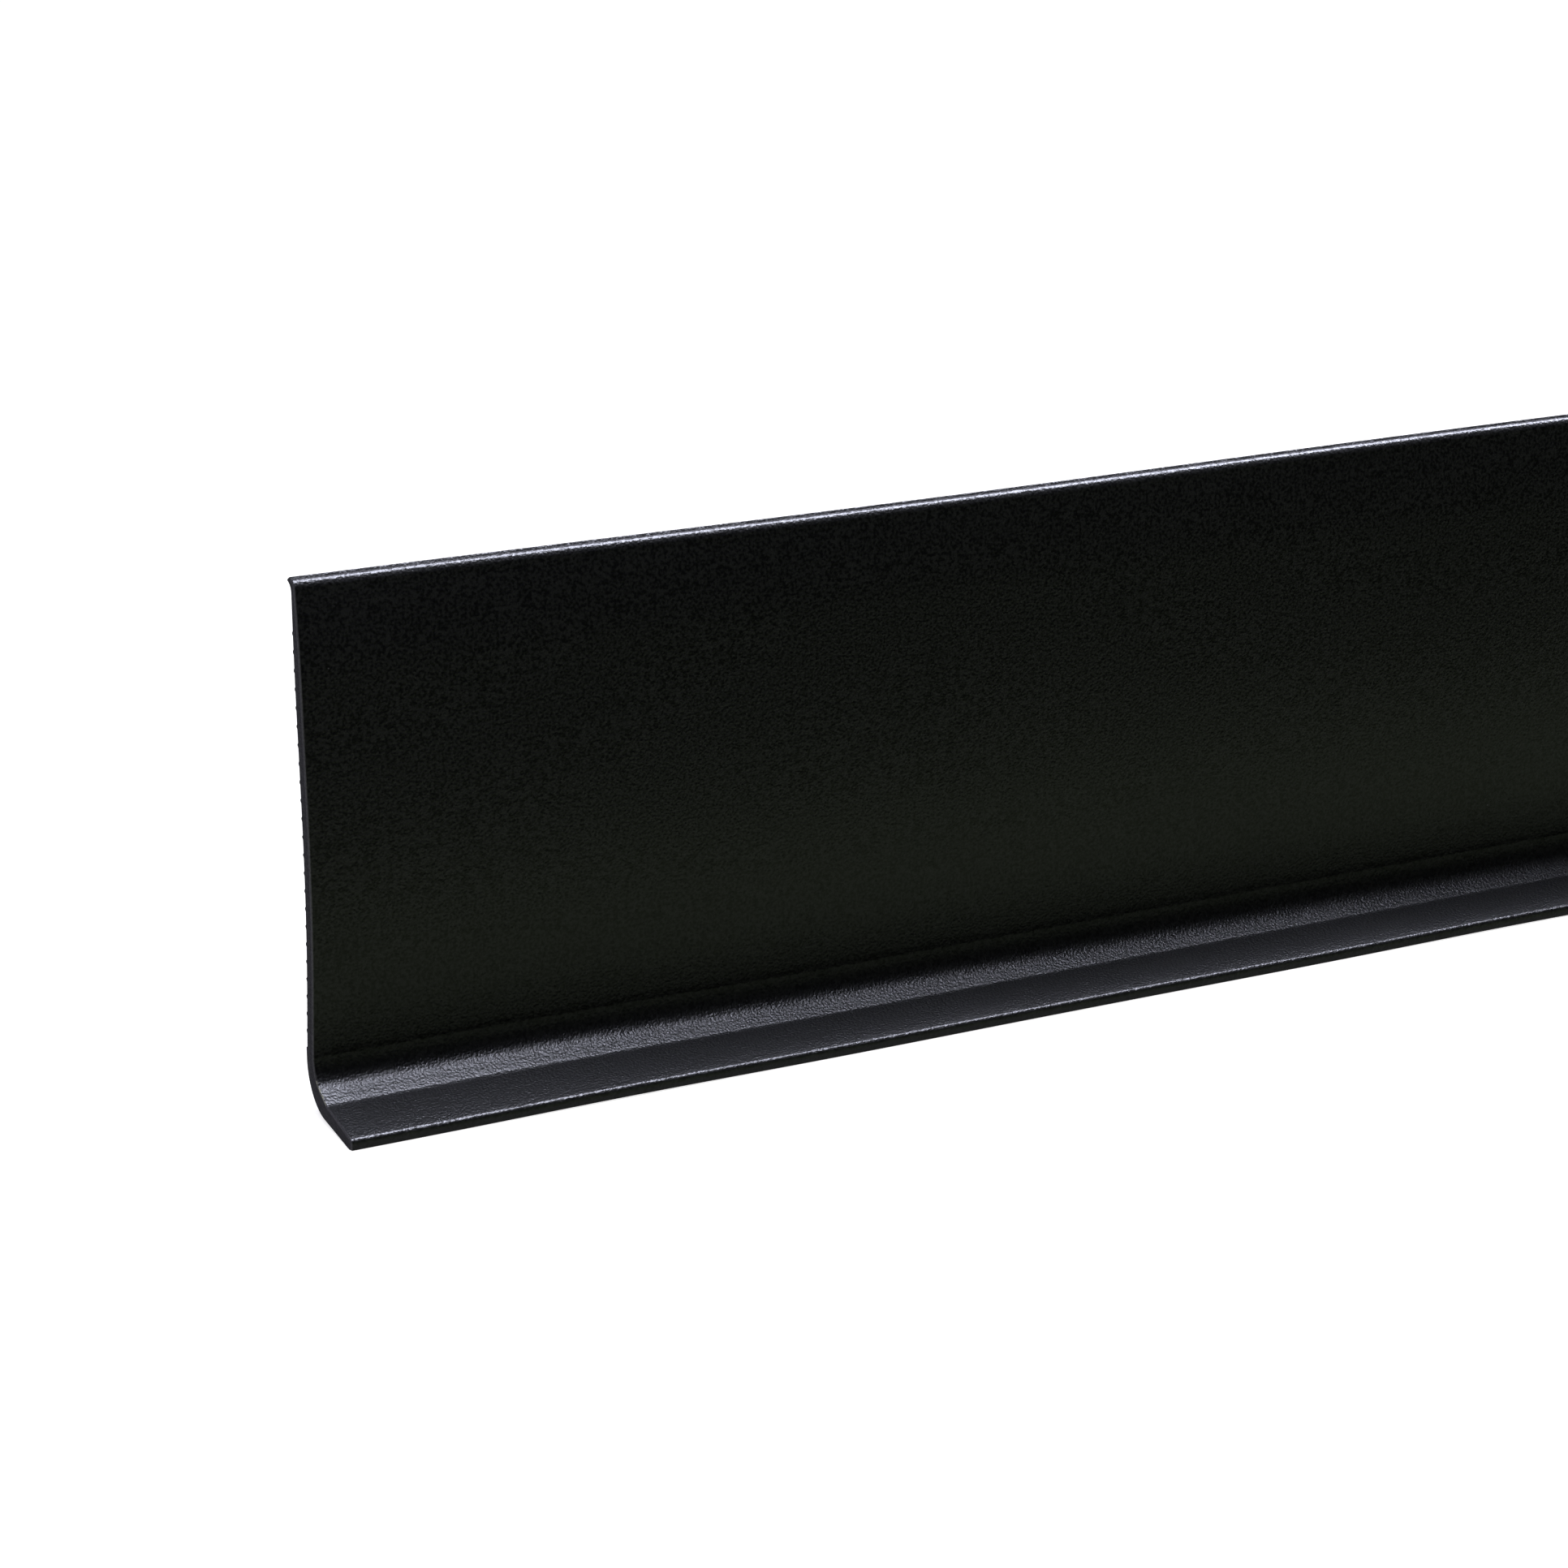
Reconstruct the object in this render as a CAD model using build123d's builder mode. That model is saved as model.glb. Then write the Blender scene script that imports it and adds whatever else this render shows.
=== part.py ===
from build123d import *
import os
from math import cos, radians, sin, sqrt, tan

# Self-adhesive vinyl wall base: the coved skirting strip that covers the joint of wall and floor.
#
# Frame, millimetres: X runs along the strip and is 0 at mid-length. The wall is the plane Y = 0,
# with the room on the -Y side. The floor is the plane Z = 0.

# Overall sizes
length = 1219.2  # 48 in
height = 101.6  # 4 in, floor to the top of the lip
gauge = 3.175  # 1/8 in, thickness of the web over the ribs on its back

# Web: the upright part, bowed off the wall so that its two edges press against it
lean = 1.45  # stand-off of the rib tops at the lip
bow = 1.8  # extra stand-off where the web bows most
bow_rise, bow_fall = 1.5, 2.5  # powers that shape the bow: highest at 3/8 of the web's height

# Ribs along the back
rib_height = 0.35
rib_width = 0.9
rib_count = 23
rib_pitch = 3.43
rib_foot = 0.2  # how far a rib is drawn into the web

# Lip: the thin top edge, which sweeps back to the wall
taper_height = 16.0  # stretch of web that thins towards the lip
taper_power = 1.5
lip_thickness = 1.4
lip_radius = 2.0
lip_ridge_drop = 0.7  # top of the lip's ridge to the top of its wall edge
lip_edge = 0.25  # height of the wall edge
lip_root_drop = 2.8  # top of the lip's ridge to the root of the lip, on the back

# Heel, cove and toe
heel_radius = 9.0  # outside of the bend
heel_land = 2.3  # flat above the bend, which rests on the wall
cove_radius = 8.0  # inside of the bend
toe_reach = 21.9  # wall to the toe's front edge
toe_tip = 2.1  # thickness of the toe's front edge
toe_land = 2.0  # flat behind the front edge, which rests on the floor
top_fall = radians(10)  # slope of the toe's top
under_rise = radians(6)  # slope of the toe's underside, from its flat up to the heel
tip_top_radius = 0.9
tip_bottom_radius = 0.3

# Adhesive bands and their release liners
band_width = 25.4  # 1 in
band_bottoms = {"lower": 20.0, "upper": 62.0}
band_root = 0.5  # how far a band is drawn into the web before the web is cut from it
adhesive_cover = 0.25  # adhesive over the rib tops
adhesive_end_gap = 2.0  # bare back at each end
liner_gap = 0.05  # adhesive to liner
liner_thickness = 0.15
liner_end_gap = 1.2
liner_lift_edge = 3.0  # bare liner above the adhesive, for a fingertip

# Levels worked out from the sizes
web_thickness = gauge - rib_height
heel_z = (
    (toe_reach - toe_land - heel_radius * (1 - sin(under_rise))) * tan(under_rise)
    + heel_radius * cos(under_rise)
)  # centre of the heel's arc
back_start = heel_z + heel_land
back_end = height - lip_root_drop
lip_z = height - lip_radius  # start of the lip's round on the front


def stand_off(z):
    """Distance from the wall plane to the rib tops at height z."""
    u = min(max((z - heel_z) / (lip_z - heel_z), 0), 1)
    peak_u = bow_rise / (bow_rise + bow_fall)
    peak = peak_u**bow_rise * (1 - peak_u) ** bow_fall
    return lean * u + bow * u**bow_rise * (1 - u) ** bow_fall / peak


def back_y(z):
    """Back of the web at height z, between the ribs."""
    return -stand_off(z) - rib_height


def front_y(z):
    """Front of the web at height z."""
    u = max(1 - (lip_z - z) / taper_height, 0)
    return back_y(z) - web_thickness + (web_thickness - lip_thickness) * u**taper_power


def curve_points(y_at, z_from, z_to, count=13):
    """Points of the curve y = y_at(z), evenly spaced in height."""
    heights = [z_from + (z_to - z_from) * i / (count - 1) for i in range(count)]
    return [(y_at(z), z) for z in heights]


def rib_corners(z):
    """Section of one rib: a blunt ridge, whose foot reaches a little into the web."""
    foot = back_y(z) - rib_foot
    half = rib_width / 2
    return [(foot, z - half), (back_y(z), z - half), (-stand_off(z), z - half / 3),
            (-stand_off(z), z + half / 3), (back_y(z), z + half), (foot, z + half)]


def layer_lines(inner_y, outer_y, bottom, top):
    """Outline of a layer on the back of the web, between two curves."""
    outer = Spline(*curve_points(outer_y, bottom, top))
    inner = Spline(*curve_points(inner_y, top, bottom))
    Line(outer @ 1, inner @ 0)
    Line(inner @ 1, outer @ 0)


# Corners of the strip's section, as (Y, Z)
toe_front = (-toe_reach, 0)
toe_top = (-toe_reach, toe_tip)
heel_foot = (-heel_radius * (1 - sin(under_rise)), heel_z - heel_radius * cos(under_rise))
heel_middle = (-heel_radius * (1 - sqrt(0.5)), heel_z - heel_radius * sqrt(0.5))
lip_ridge = (front_y(lip_z) + lip_radius, height)
lip_edge_top = (0, height - lip_ridge_drop)
lip_edge_bottom = (0, height - lip_ridge_drop - lip_edge)

# The cove's arc meets the front of the web upright and runs out onto the toe's sloping top
cove_y = front_y(heel_z) - cove_radius
cove_foot_y = cove_y + cove_radius * sin(top_fall)
cove_foot = (cove_foot_y, toe_tip + (toe_reach + cove_foot_y) * tan(top_fall))
cove_z = cove_foot[1] + cove_radius * cos(top_fall)
cove_middle = (cove_y + cove_radius * sqrt(0.5), cove_z - cove_radius * sqrt(0.5))
cove_top = (front_y(cove_z), cove_z)

os.makedirs("parts", exist_ok=True)

# The strip, one extrusion
with BuildPart() as base_strip:
    with BuildSketch(Plane.YZ.offset(-length / 2)) as section:
        with BuildLine():
            Polyline(heel_foot, (-(toe_reach - toe_land), 0), toe_front, toe_top, cove_foot)
            ThreePointArc(cove_foot, cove_middle, cove_top)
            Spline(*curve_points(front_y, cove_z, lip_z))
            TangentArc((front_y(lip_z), lip_z), lip_ridge, tangent=(0, 1))
            Polyline(lip_ridge, lip_edge_top, lip_edge_bottom)
            Spline(lip_edge_bottom, (back_y(back_end), back_end), tangents=[(-1, -0.7), (0, -1)])
            Spline(*curve_points(back_y, back_end, back_start))
            Polyline((back_y(back_start), back_start), (0, back_start), (0, heel_z))
            ThreePointArc((0, heel_z), heel_middle, heel_foot)
        make_face()
        for i in range(1, rib_count + 1):
            with BuildLine():
                Polyline(*rib_corners(back_start + i * rib_pitch), close=True)
            make_face()
        fillet(section.vertices().sort_by(Axis.X)[:2].sort_by(Axis.Y)[1], tip_top_radius)
        fillet(section.vertices().sort_by(Axis.X)[:2].sort_by(Axis.Y)[0], tip_bottom_radius)
    extrude(amount=length)
base_strip.part.label = "base_strip"
export_step(base_strip.part, "parts/base_strip.step")

# Adhesive bands, which fill the grooves between the ribs, and the liners that cover them
for name, bottom in band_bottoms.items():
    top = bottom + band_width

    with BuildPart() as adhesive_band:
        with BuildSketch(Plane.YZ.offset(-length / 2 + adhesive_end_gap)):
            with BuildLine():
                layer_lines(lambda z: back_y(z) - band_root,
                            lambda z: adhesive_cover - stand_off(z), bottom, top)
            make_face()
        extrude(amount=length - 2 * adhesive_end_gap)
        add(base_strip.part, mode=Mode.SUBTRACT)
    adhesive_band.part.label = f"{name}_adhesive_band"
    export_step(adhesive_band.part, f"parts/{name}_adhesive_band.step")

    liner_inside = adhesive_cover + liner_gap
    liner_outside = liner_inside + liner_thickness
    with BuildPart() as release_liner:
        with BuildSketch(Plane.YZ.offset(-length / 2 + liner_end_gap)):
            with BuildLine():
                layer_lines(lambda z: liner_inside - stand_off(z),
                            lambda z: liner_outside - stand_off(z), bottom, top + liner_lift_edge)
            make_face()
        extrude(amount=length - 2 * liner_end_gap)
    release_liner.part.label = f"{name}_release_liner"
    export_step(release_liner.part, f"parts/{name}_release_liner.step")
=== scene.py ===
from math import cos, pi, radians, sin, tan

import bpy
import numpy as np
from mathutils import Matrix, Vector


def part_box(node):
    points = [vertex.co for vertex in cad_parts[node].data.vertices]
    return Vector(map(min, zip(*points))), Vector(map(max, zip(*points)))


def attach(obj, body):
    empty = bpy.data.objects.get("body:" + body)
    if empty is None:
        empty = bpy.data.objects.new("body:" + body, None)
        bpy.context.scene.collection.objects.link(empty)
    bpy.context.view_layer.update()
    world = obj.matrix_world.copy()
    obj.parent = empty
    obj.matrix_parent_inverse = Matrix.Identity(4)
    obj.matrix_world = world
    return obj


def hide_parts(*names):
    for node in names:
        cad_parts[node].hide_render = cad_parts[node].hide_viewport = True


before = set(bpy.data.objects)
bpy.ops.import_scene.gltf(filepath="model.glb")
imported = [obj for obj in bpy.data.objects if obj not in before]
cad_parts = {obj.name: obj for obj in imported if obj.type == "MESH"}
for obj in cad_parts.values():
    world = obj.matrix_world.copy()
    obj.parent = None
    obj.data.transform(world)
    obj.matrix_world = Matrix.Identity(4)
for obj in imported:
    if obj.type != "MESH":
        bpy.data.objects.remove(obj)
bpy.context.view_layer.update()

# Looks of a self-adhesive vinyl wall base. Metres, in the CAD model's frame: X along the strip, the wall
# is the plane Y = 0 with the room on the -Y side, and the floor is the plane Z = 0.

MM = 0.001

# ---------------------------------------------------------------- sizes read from the frame

strip_low, strip_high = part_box("base_strip")
near_end, far_end = strip_low.x, strip_high.x
height = strip_high.z
toe_reach = -strip_low.y

# ---------------------------------------------------------------- the section
# It is the CAD source's section with a fuller curve in the cove and a finer edge along the lip.

gauge = 3.175 * MM
lean = 1.45 * MM
bow = 1.8 * MM
bow_rise, bow_fall = 1.5, 2.5
rib_height = 0.35 * MM
rib_width = 0.9 * MM
rib_count = 23
rib_pitch = 3.43 * MM
taper_height = 16 * MM
taper_power = 1.5
lip_thickness = 1.4 * MM
lip_radius = 2.0 * MM
lip_ridge_drop = 0.7 * MM
lip_edge = 0.25 * MM
lip_root_drop = 2.8 * MM
lip_sweep_power = 1.4  # shape of the lip's underside
lip_flattening = 0.30
lip_flat_start = radians(33)  # this and the next are measured round the lip from its front
lip_ridge_start = radians(79)
heel_radius = 9.0 * MM
heel_land = 2.3 * MM
cove_radius = 7.4 * MM
cove_fill, cove_fill_power = 0.31, 2.0
cove_fill_spread = radians(48)
toe_tip = 2.1 * MM
toe_land = 2.0 * MM
top_fall = radians(10)
under_rise = radians(6)
tip_top_radius = 0.9 * MM
tip_bottom_radius = 0.3 * MM

adhesive_cover = 0.25 * MM
liner_gap = 0.05 * MM
liner_thickness = 0.15 * MM

web_thickness = gauge - rib_height
heel_z = (
    (toe_reach - toe_land - heel_radius * (1 - sin(under_rise))) * tan(under_rise)
    + heel_radius * cos(under_rise)
)
back_start = heel_z + heel_land
back_end = height - lip_root_drop
lip_z = height - lip_radius


def stand_off(z):
    """Distance from the wall plane to the rib tops at height z."""
    u = min(max((z - heel_z) / (lip_z - heel_z), 0), 1)
    peak_u = bow_rise / (bow_rise + bow_fall)
    peak = peak_u**bow_rise * (1 - peak_u) ** bow_fall
    return lean * u + bow * u**bow_rise * (1 - u) ** bow_fall / peak


def back_y(z):
    """Back of the web at height z, between the ribs."""
    return -stand_off(z) - rib_height


def front_y(z):
    """Front of the web at height z."""
    u = max(1 - (lip_z - z) / taper_height, 0)
    return back_y(z) - web_thickness + (web_thickness - lip_thickness) * u**taper_power


def steps(start, end, count):
    """count values from start, evenly spaced, without the end."""
    return [start + (end - start) * i / count for i in range(count)]


def arc(centre, radius, start, end, count):
    """Points of an arc about centre, from one angle to another, without the last."""
    return [(centre[0] + radius * cos(t), centre[1] + radius * sin(t)) for t in steps(start, end, count)]


def straight(start, end, count):
    """Points of a straight run, without the last."""
    return [tuple(np.array(start) * (1 - t) + np.array(end) * t) for t in steps(0, 1, count)]


def rib_points(z):
    """One rib, from its upper corner to its lower one. Its flat top is a third of its width."""
    half = rib_width / 2
    flat = half / 3
    return [(back_y(z + half), z + half), (-stand_off(z), z + flat),
            (-stand_off(z), z - flat), (back_y(z - half), z - half)]


def back_points(top, bottom):
    """Back of the web with its ribs, downwards from top to bottom."""
    levels = [back_start + i * rib_pitch for i in range(rib_count, 0, -1)]
    points = [(back_y(top), top)]
    for level in levels:
        if level + rib_width / 2 < points[-1][1] and level - rib_width / 2 > bottom:
            points += rib_points(level)
            points.append((back_y(level - rib_pitch / 2), level - rib_pitch / 2))
    if points[-1][1] <= bottom:
        points.pop()
    return points + [(back_y(bottom), bottom)]


def cove_points(centre):
    """The cove's arc, from its foot up, filled in a little where it turns most."""
    points = []
    for tilt in steps(pi / 2 - top_fall, 0, 44):
        along = min((pi / 2 - top_fall - tilt) / cove_fill_spread, 1)
        filled = cove_fill * along * (1 - along) ** cove_fill_power
        points += arc(centre, cove_radius * (1 - filled), -tilt, 0, 1)
    return points


def lip_points(centre):
    """The lip's round, which flattens early and then rises to a thin ridge along its top."""
    dip = lip_flattening * (lip_ridge_start - lip_flat_start) ** 2
    points = []
    for tilt in steps(0, pi / 2, 32):
        if tilt < lip_ridge_start:
            share = 1 - lip_flattening * max(tilt - lip_flat_start, 0) ** 2
        else:
            share = 1 - dip * (pi / 2 - tilt) / (pi / 2 - lip_ridge_start)
        points += arc(centre, lip_radius * share, pi - tilt, 0, 1)
    return points


def strip_section():
    """The outline, and for each of its points whether it is on the seen face of the strip."""
    heel_centre = (-heel_radius, heel_z)
    land_start = (-(toe_reach - toe_land), 0)
    low_tip = (-toe_reach + tip_bottom_radius, tip_bottom_radius)
    # the tip's upper round is tangent to the upright front and to the toe's sloping top
    high_tip_y = -toe_reach + tip_top_radius
    high_tip = (high_tip_y, toe_tip + tip_top_radius * (tan(top_fall) - 1 / cos(top_fall)))
    cove_centre_y = front_y(heel_z) - cove_radius
    cove_foot_y = cove_centre_y + cove_radius * sin(top_fall)
    cove_foot_z = toe_tip + (toe_reach + cove_foot_y) * tan(top_fall)
    cove_centre = (cove_centre_y, cove_foot_z + cove_radius * cos(top_fall))
    top_start = (
        high_tip[0] - tip_top_radius * sin(top_fall),
        high_tip[1] + tip_top_radius * cos(top_fall),
    )
    lip_centre = (front_y(lip_z) + lip_radius, lip_z)
    edge_top = (0, height - lip_ridge_drop)
    edge_bottom = (0, height - lip_ridge_drop - lip_edge)
    lip_ridge = (lip_centre[0], height)

    hidden = arc(heel_centre, heel_radius, 0, -pi / 2 + under_rise, 16)
    heel_foot = (-heel_radius + heel_radius * sin(under_rise), heel_z - heel_radius * cos(under_rise))
    hidden += straight(heel_foot, land_start, 6)
    hidden += straight(land_start, (low_tip[0], 0), 3)
    seen = arc(low_tip, tip_bottom_radius, -pi / 2, -pi, 5)
    seen += straight((-toe_reach, low_tip[1]), (-toe_reach, high_tip[1]), 4)
    seen += arc(high_tip, tip_top_radius, pi, pi / 2 + top_fall, 9)
    seen += straight(top_start, (cove_foot_y, cove_foot_z), 12)
    seen += cove_points(cove_centre)
    seen += [(front_y(z), z) for z in steps(cove_centre[1], lip_z, 48)]
    seen += lip_points(lip_centre)
    over = straight(lip_ridge, edge_top, 3) + straight(edge_top, edge_bottom, 2)
    # the lip's underside sweeps back to the web
    over += [
        (edge_bottom[0] + (back_y(back_end) - edge_bottom[0]) * (1 - (1 - t) ** 2),
         edge_bottom[1] + (back_end - edge_bottom[1]) * t**lip_sweep_power)
        for t in steps(0, 1, 8)
    ]
    over += back_points(back_end, back_start)
    over += straight((0, back_start), (0, heel_z), 3)
    points = np.array(hidden + seen + over)
    on_face = np.array([0.0] * len(hidden) + [1.0] * len(seen) + [0.0] * len(over))
    return points, on_face


# ---------------------------------------------------------------- how the flexible strip really lies

web_sway = 0.85 * MM  # how far the web's top edge sways off its nominal line, each way
sway_length = 265 * MM
sway_centre = near_end + 125 * MM
sway_fade_length = 900 * MM
sway_fade = 0.35
sway_power = 1.3  # how the sway grows with height
toe_flutter = 0.16 * MM  # how far the toe's front edge rises off the floor
flutter_change = 0.07 * MM
flutter_length = 98 * MM
flutter_start = near_end + 105 * MM
flutter_change_length = 205 * MM
settle_at_end = 0.25  # how far the toe's sloping underside sinks to the floor, as a share of its slope
settle_inside = 0.95
settle_start, settle_full = 30 * MM, 110 * MM  # distances from a cut end
settle_ease = 3 * MM
settle_fade_height = 30 * MM


def smooth(value, low, high):
    """0 below low, 1 above high, with a smooth rise between them."""
    share = np.clip((value - low) / (high - low), 0, 1)
    return share * share * (3 - 2 * share)


def settle(x, y, z):
    """How far the heel and the toe's root sink towards the floor."""
    from_end = np.minimum(x - near_end, far_end - x)
    share = settle_at_end + (settle_inside - settle_at_end) * smooth(from_end, settle_start, settle_full)
    slope_start = toe_reach - toe_land
    reach = np.clip(slope_start + y, 0, slope_start - heel_radius * (1 - sin(under_rise)))
    depth = tan(under_rise) * reach**2 / (reach + settle_ease)
    return share * depth * (1 - smooth(z, heel_z, heel_z + settle_fade_height))


def relaxed(points):
    """Points of the straight strip, moved to where the limp strip has them: N x 3, metres."""
    x, y, z = points.T
    up = np.clip((z - heel_z) / (lip_z - heel_z), 0, 1)
    phase = 2 * pi * (x - sway_centre)
    fade = 1 - sway_fade + sway_fade * np.cos(phase / sway_fade_length)
    sway = web_sway * (1 + np.cos(phase / sway_length)) * fade
    out = np.clip((-y - gauge) / (toe_reach - gauge), 0, 1)
    change = np.cos(2 * pi * (x - flutter_start + flutter_length / 2) / flutter_change_length)
    flutter = np.sin(pi * (x - flutter_start) / flutter_length) ** 2
    rise = (toe_flutter + flutter_change * change) * flutter
    lifted = z + rise * out**2 * (z < heel_z) - settle(x, y, z)
    return np.stack([x, y - sway * up**sway_power, lifted], 1)


# ---------------------------------------------------------------- meshes

sharp_angle = radians(32)
station_step = 7 * MM
arris_radius = 0.35 * MM  # the shear rolls the seen face over at each cut end
arris_steps = 5

# layers on the back
layer_rows = 26
adhesive_end_gap = 2.0 * MM
adhesive_clearance = 0.015 * MM
adhesive_edge_steepness = 6
ripple_depth = 0.08 * MM
ripple_length, ripple_width = 6 * MM, 5 * MM
ripple_bend, ripple_bend_length = 3, 30 * MM
liner_end_gap = 1.2 * MM
edge_wander = 0.1 * MM
wander_length = 11 * MM
low_wander_length = wander_length / 1.4
wrinkle_depth = 0.14 * MM
wrinkle_length = 9 * MM
wrinkle_slant = 2.2
wrinkle_bend, wrinkle_bend_length = 1.5, 27.9 * MM
curl = 0.4 * MM
curl_height = 4 * MM
curl_change, curl_change_length = 0.35, 44 * MM
corner_lift = 0.9 * MM
corner_reach = 30 * MM
corner_start = 0.55  # share of the liner's height

# the burr on the near end
burr_low, burr_high = 4.3 * MM, 7.6 * MM
burr_front = -12 * MM
burr_width = 0.42 * MM
burr_sink = 0.02 * MM
burr_blunt = 0.08
burr_notches, burr_notch_depth = 21, 0.4
# its section as (along X, off the face), in burr widths
burr_corners = [(0.0, 0.0), (0.1, 0.28), (0.8, 0.16), (0.7, -0.25)]


def made_piece(name, points, faces, body, node, materials, kinds=None):
    """A mesh piece on a CAD body, in place of a CAD node."""
    mesh = bpy.data.meshes.new(name)
    mesh.from_pydata([tuple(p) for p in points], [], [tuple(f) for f in faces])
    for material in materials:
        mesh.materials.append(material)
    if kinds is not None:
        mesh.polygons.foreach_set("material_index", kinds)
    mesh.polygons.foreach_set("use_smooth", [True] * len(mesh.polygons))
    mesh.set_sharp_from_angle(angle=sharp_angle)
    mesh.validate()
    mesh.update()
    piece = bpy.data.objects.new(name, mesh)
    bpy.context.scene.collection.objects.link(piece)
    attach(piece, body)
    if node:
        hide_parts(node)
    return piece


def capped(rings):
    """Points and faces of a closed solid: the rings joined by quads, then a face over each end."""
    around = len(rings[0])
    last = (len(rings) - 1) * around
    faces = []
    for start in range(0, last, around):
        for i in range(around):
            j = (i + 1) % around
            faces.append((start + i, start + around + i, start + around + j, start + j))
    faces += [list(range(around)), [last + i for i in reversed(range(around))]]
    return np.concatenate(rings), faces


def outward(points):
    """Unit outward normals of a closed outline, as (Y, Z)."""
    along = np.roll(points, -1, 0) - np.roll(points, 1, 0)
    normals = np.stack([along[:, 1], -along[:, 0]], 1)
    area = np.sum(points[:, 0] * np.roll(points[:, 1], -1) - np.roll(points[:, 0], -1) * points[:, 1])
    normals *= np.sign(area) / np.linalg.norm(along, axis=1)[:, None]
    return normals


def strip_stations():
    """(x, inset of the seen face) for each ring of points along the strip."""
    near = [(near_end + arris_radius - arris_radius * sin(pi / 2 * i / arris_steps),
             arris_radius * (1 - cos(pi / 2 * i / arris_steps))) for i in range(arris_steps, -1, -1)]
    count = round((far_end - near_end) / station_step)
    middle = [(x, 0.0) for x in steps(near_end, far_end, count)[1:]]
    far = [(-x, inset) for x, inset in reversed(near)]
    return near + middle + far


def build_strip(materials):
    section, on_face = strip_section()
    normals = outward(section)
    rings = []
    for x, inset in strip_stations():
        ring = section - normals * (on_face * inset)[:, None]
        rings.append(np.column_stack([np.full(len(ring), x), ring]))
    points, faces = capped(rings)
    kinds = [0] * (len(faces) - 2) + [1, 1]
    made_piece("vinyl_strip", relaxed(points), faces, "strip", "base_strip", materials, kinds)


def swept(end_gap, section_at):
    """Points and faces of a layer that stops short of each end. section_at(x) is its section, as N x 2."""
    count = round((far_end - near_end) / station_step)
    rings = []
    for x in steps(near_end + end_gap, far_end - end_gap, count) + [far_end - end_gap]:
        section = section_at(x)
        rings.append(np.column_stack([np.full(len(section), x), section]))
    return capped(rings)


def build_adhesive(which, material):
    """A band of adhesive that fills the grooves between the ribs, its outside rippled as it was laid."""
    node = f"{which}_adhesive_band"
    low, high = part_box(node)
    levels = np.array(steps(low.z, high.z, layer_rows) + [high.z])
    inner = np.array(back_points(high.z, low.z)) + (adhesive_clearance, 0)
    nominal = adhesive_cover - np.array([stand_off(z) for z in levels])
    across = np.sin(pi * (levels - low.z) / (high.z - low.z))
    rounded = ripple_depth * (1 - np.clip(across * adhesive_edge_steepness, 0, 1))
    phase = low.z / MM

    def section_at(x):
        bend = ripple_bend * np.sin(levels / ripple_width + x / ripple_bend_length)
        wave = np.sin(x / ripple_length + phase + bend)
        outer = np.column_stack([nominal - ripple_depth * (1 + wave) / 2 - rounded, levels])
        return np.concatenate([outer, inner])

    points, faces = swept(adhesive_end_gap, section_at)
    made_piece(f"{which}_adhesive", relaxed(points), faces, "strip", node, [material])


def build_liner(which, material):
    """A release liner: thin paper with faint wrinkles, uneven slit edges and a bare top edge that curls."""
    node = f"{which}_release_liner"
    low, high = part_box(node)
    phase = low.z / MM

    def section_at(x):
        top = high.z + edge_wander * (np.sin(x / wander_length + phase) - 1)
        bottom = low.z + edge_wander * (np.sin(x / low_wander_length + 2 * phase) + 1)
        levels = np.array(steps(bottom, top, layer_rows) + [top])
        place = (levels - low.z) / (high.z - low.z)
        bend = wrinkle_slant * place + wrinkle_bend * np.sin(x / wrinkle_bend_length)
        fold = np.sin(x / wrinkle_length + phase + bend)
        wrinkle = wrinkle_depth * np.clip(fold, 0, 1) ** 2 * np.sqrt(np.sin(pi * place))
        curl_here = curl * (1 - curl_change + curl_change * np.sin(x / curl_change_length + phase))
        curled = curl_here * smooth(levels, top - curl_height, top) ** 2
        from_end = min(x - near_end, far_end - x)
        corner = corner_lift * max(1 - from_end / corner_reach, 0) ** 2 * smooth(place, corner_start, 1)
        flat = adhesive_cover + liner_gap - np.array([stand_off(z) for z in levels])
        inside = np.column_stack([flat + wrinkle + curled + corner, levels])
        outside = (inside + (liner_thickness, 0))[::-1]
        return np.concatenate([inside, outside])

    points, faces = swept(liner_end_gap, section_at)
    name = f"{which}_liner_paper"
    made_piece(name, relaxed(points), faces, f"{which}_liner", node, [material])


def build_burr(material):
    """The sliver that the shears left hanging on the near end, along the cove's arris."""
    section, on_face = strip_section()
    normals = outward(section)
    foot = [i for i in range(len(section)) if on_face[i] and burr_low < section[i][1] < burr_high
            and section[i][0] > burr_front]
    rings = []
    for order, i in enumerate(foot):
        share = order / (len(foot) - 1)
        taper = sin(pi * (burr_blunt + (1 - 2 * burr_blunt) * share))
        notched = 1 - burr_notch_depth + burr_notch_depth * sin(burr_notches * share)
        width = burr_width * taper * notched
        ring = []
        for along, off in burr_corners:
            y, z = section[i] + normals[i] * (off * width - burr_sink)
            ring.append((near_end + along * width + burr_sink, y, z))
        rings.append(ring)
    points, faces = capped(rings)
    made_piece("shear_burr", relaxed(points), faces, "strip", None, [material])


# ---------------------------------------------------------------- materials

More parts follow.
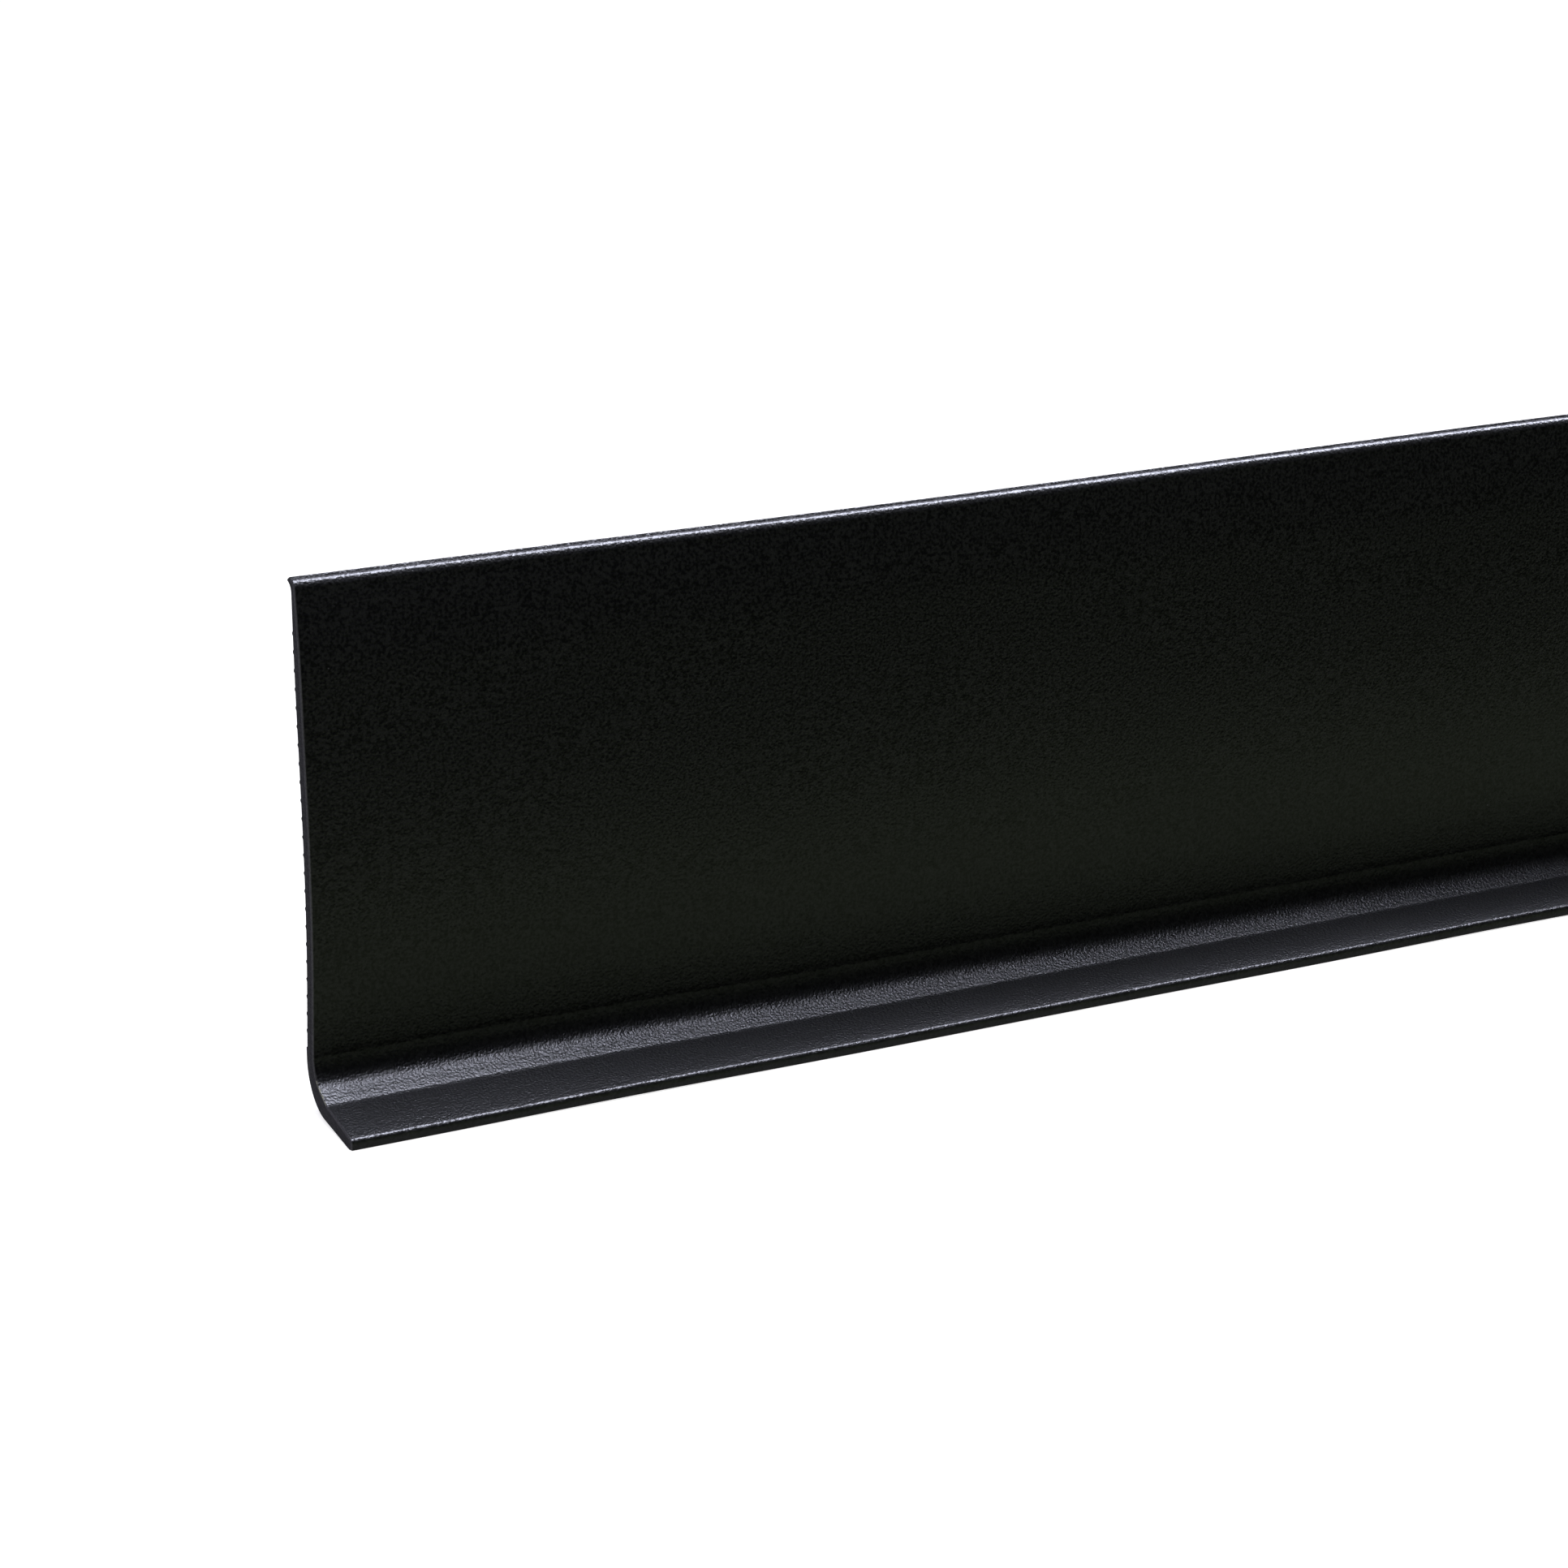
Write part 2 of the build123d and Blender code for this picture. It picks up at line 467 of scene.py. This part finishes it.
class Nodes:
    """Short ways to make and join shader nodes."""

    def __init__(self, tree):
        self.tree = tree

    def add(self, kind, **settings):
        node = self.tree.nodes.new(kind)
        for key, value in settings.items():
            setattr(node, key, value)
        return node

    def put(self, socket, value):
        """Joins an output to a socket, or sets the socket's own value."""
        if isinstance(value, bpy.types.NodeSocket):
            self.tree.links.new(value, socket)
        else:
            socket.default_value = value

    def axes(self, place):
        """The X, Y and Z of a place."""
        node = self.add("ShaderNodeSeparateXYZ")
        self.put(node.inputs[0], place)
        return node.outputs

    def math(self, operation, a, b=0.0):
        node = self.add("ShaderNodeMath", operation=operation)
        self.put(node.inputs[0], a)
        self.put(node.inputs[1], b)
        return node.outputs[0]

    def ramp(self, value, low, high, to_low=0.0, to_high=1.0):
        """A smooth change from to_low to to_high while the value goes from low to high."""
        node = self.add("ShaderNodeMapRange", interpolation_type="SMOOTHSTEP")
        self.put(node.inputs["Value"], value)
        node.inputs["From Min"].default_value = low
        node.inputs["From Max"].default_value = high
        node.inputs["To Min"].default_value = to_low
        node.inputs["To Max"].default_value = to_high
        return node.outputs["Result"]

    def mix(self, share, a, b):
        node = self.add("ShaderNodeMix", data_type="RGBA")
        self.put(node.inputs["Factor"], share)
        self.put(node.inputs["A"], a)
        self.put(node.inputs["B"], b)
        return node.outputs["Result"]


class Surface(Nodes):
    """A new material's nodes. Places are in metres, in the frame of the piece's body."""

    def __init__(self, name):
        self.material = bpy.data.materials.new(name)
        self.material.use_nodes = True
        super().__init__(self.material.node_tree)
        self.shader = self.tree.nodes["Principled BSDF"]
        self.place = self.add("ShaderNodeTexCoord").outputs["Object"]

    def scaled(self, x, y, z):
        """The place in the piece, multiplied by a number along each axis."""
        node = self.add("ShaderNodeVectorMath", operation="MULTIPLY")
        self.put(node.inputs[0], self.place)
        node.inputs[1].default_value = (x, y, z)
        return node.outputs[0]

    def noise(self, place, scale, detail=2.0, roughness=0.5):
        node = self.add("ShaderNodeTexNoise")
        self.put(node.inputs["Vector"], place)
        node.inputs["Scale"].default_value = scale
        node.inputs["Detail"].default_value = detail
        node.inputs["Roughness"].default_value = roughness
        return node.outputs["Fac"]

    def cells(self, place, scale, feature="F1", smoothness=1.0):
        node = self.add("ShaderNodeTexVoronoi", feature=feature)
        self.put(node.inputs["Vector"], place)
        node.inputs["Scale"].default_value = scale
        if feature == "SMOOTH_F1":
            node.inputs["Smoothness"].default_value = smoothness
        return node.outputs

    def bump(self, height, depth, under=None):
        node = self.add("ShaderNodeBump")
        self.put(node.inputs["Height"], height)
        node.inputs["Distance"].default_value = depth
        if under is not None:
            self.put(node.inputs["Normal"], under)
        return node.outputs["Normal"]

    def set(self, **values):
        for key, value in values.items():
            self.put(self.shader.inputs[key.replace("_", " ")], value)


def colour(red, green, blue):
    return (red, green, blue, 1.0)


# texture sizes, as cells or waves in a metre
# the fourth size here sets the patches in the painted floor reflection on the toe's front edge
grain_cells, fine_grain, sand_grain, painted_floor_reflection_grain = 1900, 3000, 1700, 1800
dust_cells = 34
grit_waves = 4200
adhesive_pits = 420
paper_clumps = 210

grain_depth = 0.10 * MM
streak_depth = 0.004 * MM
speck_core, speck_edge = 0.0060, 0.0120  # as shares of a dust cell
dust_cover = 0.7
# the next two are the heights over which the toe's front edge carries its painted floor reflection
painted_floor_reflection_from, painted_floor_reflection_full = 1.0 * MM, 1.5 * MM  # height
base_roughness = 0.31


def dust(n):
    """1 on a few small specks of the face, and 0 elsewhere."""
    face = n.scaled(1, 0, 1)
    speck = n.cells(face, dust_cells)
    chosen = n.math("GREATER_THAN", n.noise(speck["Position"], 300, 0.0), 0.5)
    return n.math("MULTIPLY", n.ramp(speck["Distance"], speck_core, speck_edge, 1.0, 0.0), chosen)


def vinyl_material():
    """Black vinyl with a fine pebbled grain, faint long streaks, paler cut-end arrises, a little dust, and a
    painted reflection of the floor along the toe's front edge.
    """
    n = Surface("black_pebbled_vinyl")
    x, y, z = n.axes(n.place)
    grain = n.cells(n.place, grain_cells, "SMOOTH_F1", 0.5)["Distance"]
    fine = n.noise(n.place, fine_grain, 1.0)
    pebbles = n.math("ADD", n.math("MULTIPLY", grain, -0.75), n.math("MULTIPLY", fine, 0.55))
    streaks = n.noise(n.scaled(2, 120, 120), 1.0, 3.0)
    clouds = n.noise(n.scaled(9, 20, 20), 1.0, 3.0)

    sand = n.ramp(n.noise(n.place, sand_grain, 1.0), 0.36, 0.64)
    crown = n.mix(clouds, colour(0.0050, 0.0058, 0.0048), colour(0.0064, 0.0069, 0.0062))
    black = n.mix(sand, colour(0.0, 0.0, 0.0), crown)

    # the toe's upright front edge is painted a dull grey band, a painted reflection of the white floor in
    # front of it, and is rougher there
    front = n.ramp(y, -toe_reach + 0.1 * MM, -toe_reach + 0.2 * MM, 1.0, 0.0)
    painted_floor_reflection_band = n.math("MULTIPLY", front, n.ramp(z, painted_floor_reflection_from, painted_floor_reflection_full, 1.0, 0.0))
    painted_floor_reflection_patches = n.noise(n.place, painted_floor_reflection_grain)
    painted_floor_reflection_colour = n.mix(painted_floor_reflection_patches, colour(0.005, 0.005, 0.006), colour(0.017, 0.0175, 0.020))
    skin = n.mix(painted_floor_reflection_band, black, painted_floor_reflection_colour)

    # and the arris of each cut end is coloured as a thin paler line
    arris = n.ramp(n.math("ABSOLUTE", x), far_end - arris_radius, far_end - 0.4 * arris_radius)
    pale_arris_colour = n.mix(fine, colour(0.020, 0.020, 0.023), colour(0.07, 0.07, 0.077))
    skin = n.mix(arris, skin, pale_arris_colour)
    n.set(Base_Color=n.mix(n.math("MULTIPLY", dust(n), dust_cover), skin, colour(0.30, 0.30, 0.29)))

    rough = n.math("ADD", n.math("MULTIPLY", clouds, 0.06), n.math("MULTIPLY", streaks, 0.05))
    rough = n.math("ADD", rough, n.math("MULTIPLY", painted_floor_reflection_band, 0.3))
    n.set(Roughness=n.math("ADD", rough, base_roughness), IOR=1.5)
    n.set(Normal=n.bump(streaks, streak_depth, n.bump(pebbles, grain_depth)))
    return n.material


def cut_material():
    """The sheared end of the vinyl: duller, with drag lines across its thickness."""
    n = Surface("cut_vinyl")
    drag = n.noise(n.scaled(400, 500, 3500), 1.0, 3.0)
    grit = n.noise(n.place, grit_waves)
    dark, light = colour(0.007, 0.007, 0.008), colour(0.024, 0.024, 0.027)
    n.set(Base_Color=n.mix(n.ramp(drag, 0.35, 0.7), dark, light))
    n.set(Roughness=n.ramp(grit, 0.3, 0.7, 0.55, 0.8), IOR=1.5)
    n.set(Normal=n.bump(n.math("ADD", drag, grit), 0.05 * MM))
    return n.material


def rib_shade(n, spread):
    """1 over the middle of each rib of the back and 0 between ribs, from the height."""
    level = n.math("DIVIDE", n.math("SUBTRACT", n.axes(n.place)["Z"], back_start), rib_pitch)
    off = n.math("ABSOLUTE", n.math("SUBTRACT", n.math("FRACT", n.math("ADD", level, 0.5)), 0.5))
    return n.ramp(off, 0.0, spread, 1.0, 0.0)


def adhesive_material():
    """Amber pressure-sensitive adhesive: glossy and tacky, thinner and duller over the ribs."""
    n = Surface("amber_adhesive")
    ribs = rib_shade(n, 0.3)
    clouds = n.noise(n.scaled(25, 60, 60), 1.0, 3.0)
    ripples = n.noise(n.scaled(90, 400, 400), 1.0, 3.0)
    pits = n.cells(n.place, adhesive_pits)["Distance"]
    deep = n.mix(clouds, colour(0.52, 0.37, 0.15), colour(0.63, 0.47, 0.22))
    n.set(Base_Color=n.mix(n.math("MULTIPLY", ribs, 0.55), deep, colour(0.36, 0.27, 0.14)))
    n.set(Roughness=n.ramp(ripples, 0.25, 0.75, 0.16, 0.38), IOR=1.48)
    pitted = n.bump(n.ramp(pits, 0.0, 0.16), 0.03 * MM, n.bump(ripples, 0.12 * MM))
    n.set(Normal=n.bump(ribs, 0.05 * MM, pitted))
    return n.material


def liner_material():
    """Cream siliconised kraft paper: fine fibres, a soft sheen, and the ribs showing faintly through."""
    n = Surface("siliconised_paper")
    ribs = rib_shade(n, 0.42)
    fibres = n.noise(n.scaled(260, 1500, 1500), 1.0, 4.0, 0.65)
    clumps = n.noise(n.place, paper_clumps, 3.0, 0.6)
    clouds = n.noise(n.scaled(10, 30, 30), 1.0)
    flecks = n.ramp(n.noise(n.scaled(500, 2200, 2200), 1.0, 1.0), 0.70, 0.78)
    paper = n.mix(clumps, colour(0.72, 0.64, 0.48), colour(0.82, 0.75, 0.60))
    paper = n.mix(n.math("MULTIPLY", clouds, 0.35), paper, colour(0.68, 0.60, 0.45))
    paper = n.mix(n.math("MULTIPLY", ribs, 0.16), paper, colour(0.55, 0.47, 0.34))
    n.set(Base_Color=n.mix(n.math("MULTIPLY", flecks, 0.4), paper, colour(0.34, 0.26, 0.16)))
    n.set(Roughness=n.ramp(clumps, 0.3, 0.7, 0.36, 0.52), IOR=1.45)
    n.set(Normal=n.bump(ribs, 0.06 * MM, n.bump(fibres, 0.03 * MM, n.bump(clumps, 0.05 * MM))))
    return n.material


def burr_painted_highlight_material():
    """The burr's vinyl, coloured pale and yellowish with streaks: a painted highlight, standing in for the
    glint along the sheared edge.
    """
    n = Surface("burr_painted_highlight")
    burr_streaks = n.noise(n.scaled(4000, 1200, 1200), 1.0, 3.0)
    # the pale yellowish colour is a painted highlight on the burr
    n.set(Base_Color=n.mix(burr_streaks, colour(0.16, 0.17, 0.11), colour(0.52, 0.53, 0.42)))
    n.set(Roughness=n.ramp(burr_streaks, 0.3, 0.7, 0.4, 0.7), IOR=1.5, Normal=n.bump(burr_streaks, 0.05 * MM))
    return n.material


# ---------------------------------------------------------------- studio

floor_side = 80
card_near, card_far = -24 * MM, -400 * MM  # along Y, in front of the strip
card_side = 3
card_sink = 1 * MM
glow_far, glow_near = -0.26, -0.06  # along Y

key_along, key_back, key_height = 0.45, 0.075, 0.6  # from the near end, the wall plane and the floor
key_size, key_radiance = (1.3, 0.16), 44.0
key_turn = radians(10)
fill_place = (0, -0.3, 2.2)
fill_size, fill_radiance = (2.5, 1.6), 2.2


def sheet(name, low, high, z, material):
    """A flat rectangle of the stage, from one corner to the opposite one."""
    mesh = bpy.data.meshes.new(name)
    corners = [(low[0], low[1], z), (high[0], low[1], z), (high[0], high[1], z), (low[0], high[1], z)]
    mesh.from_pydata(corners, [], [(0, 1, 2, 3)])
    mesh.materials.append(material)
    flat = bpy.data.objects.new(name, mesh)
    bpy.context.scene.collection.objects.link(flat)
    return flat


def studio_floor():
    n = Surface("pale_floor")
    mottle = n.noise(n.place, 1.5)
    n.set(Base_Color=n.mix(mottle, colour(0.90, 0.90, 0.90), colour(0.93, 0.93, 0.93)), Roughness=0.9)
    n.set(Emission_Color=colour(1, 1, 1), Emission_Strength=0.8)
    half = floor_side / 2
    floor = sheet("studio_floor", (-half, -half), (half, half), 0, n.material)
    floor.visible_glossy = False


def reflector():
    """What the vinyl mirrors of the table just in front of it, which fades into the dark."""
    n = Surface("reflector_glow")
    glow = n.ramp(n.axes(n.place)["Y"], glow_far, glow_near)
    n.set(Base_Color=colour(0, 0, 0), Roughness=1.0, Emission_Strength=1.0)
    n.set(Emission_Color=n.mix(glow, colour(0.002, 0.003, 0.001), colour(0.22, 0.26, 0.18)))
    half = card_side / 2
    card = sheet("reflector", (-half, card_far), (half, card_near), -card_sink, n.material)
    card.visible_camera = False
    card.visible_diffuse = False
    card.visible_shadow = False


def surroundings():
    """White where it is looked at, and a dim studio in what the vinyl mirrors."""
    world = bpy.data.worlds.new("studio")
    bpy.context.scene.world = world
    world.use_nodes = True
    world.node_tree.nodes.clear()
    n = Nodes(world.node_tree)
    x, y, z = n.axes(n.add("ShaderNodeTexCoord").outputs["Generated"])
    front_dark = n.mix(n.ramp(x, 0.30, 0.45), colour(0.016, 0.017, 0.024), colour(0.006, 0.006, 0.005))
    back_wall = colour(0.22, 0.21, 0.27)
    table = colour(0.05, 0.055, 0.045)
    walls = n.mix(n.ramp(y, -0.15, 0.35), front_dark, back_wall)
    level = n.math("ADD", n.math("MULTIPLY", x, -0.2), z)
    mirrored = n.mix(n.ramp(level, -0.62, -0.26), table, walls)
    seen = n.mix(n.add("ShaderNodeLightPath").outputs["Is Camera Ray"], mirrored, colour(1.1, 1.1, 1.1))
    background = n.add("ShaderNodeBackground")
    n.put(background.inputs["Color"], seen)
    n.put(n.add("ShaderNodeOutputWorld").inputs["Surface"], background.outputs[0])


def softbox(name, place, towards, size, radiance, tint, turn=0.0):
    """A rectangular light that faces a point. size is its length and width, turn is about its axis."""
    data = bpy.data.lights.new(name, "AREA")
    data.shape = "RECTANGLE"
    data.size, data.size_y = size
    data.energy = radiance * pi * size[0] * size[1]
    data.color = tint
    light = bpy.data.objects.new(name, data)
    bpy.context.scene.collection.objects.link(light)
    light.location = place
    aim = (Vector(towards) - Vector(place)).to_track_quat("-Z", "Y")
    light.rotation_euler = aim.to_euler()
    light.rotation_euler.rotate_axis("Z", turn)
    return light


def studio_lights():
    """A strip light that only the gloss shows, and a large soft light for everything that isn't glossy."""
    x = near_end + key_along
    cool, warm = (0.82, 0.84, 1.0), (1.0, 0.99, 0.97)
    key = softbox("key", (x, key_back, key_height), (x, key_back, 0), key_size, key_radiance, cool, key_turn)
    key.visible_diffuse = False
    fill = softbox("fill", fill_place, (0, 0, 0), fill_size, fill_radiance, warm)
    fill.visible_glossy = False


def camera():
    data = bpy.data.cameras.new("camera")
    data.sensor_width = 36
    data.lens = 91.51
    data.clip_end = 200
    eye = bpy.data.objects.new("camera", data)
    bpy.context.scene.collection.objects.link(eye)
    eye.location = (near_end - 0.224715, -0.642969, 0.289859)
    look_down, turned_right = radians(18.57), radians(26.63)
    eye.rotation_euler = (pi / 2 - look_down, 0, -turned_right)
    bpy.context.scene.camera = eye


bpy.context.scene.view_settings.view_transform = "Standard"
camera()
surroundings()
studio_lights()
studio_floor()
reflector()
build_strip([vinyl_material(), cut_material()])
adhesive = adhesive_material()
paper = liner_material()
for which in ("lower", "upper"):
    build_adhesive(which, adhesive)
    build_liner(which, paper)
build_burr(burr_painted_highlight_material())
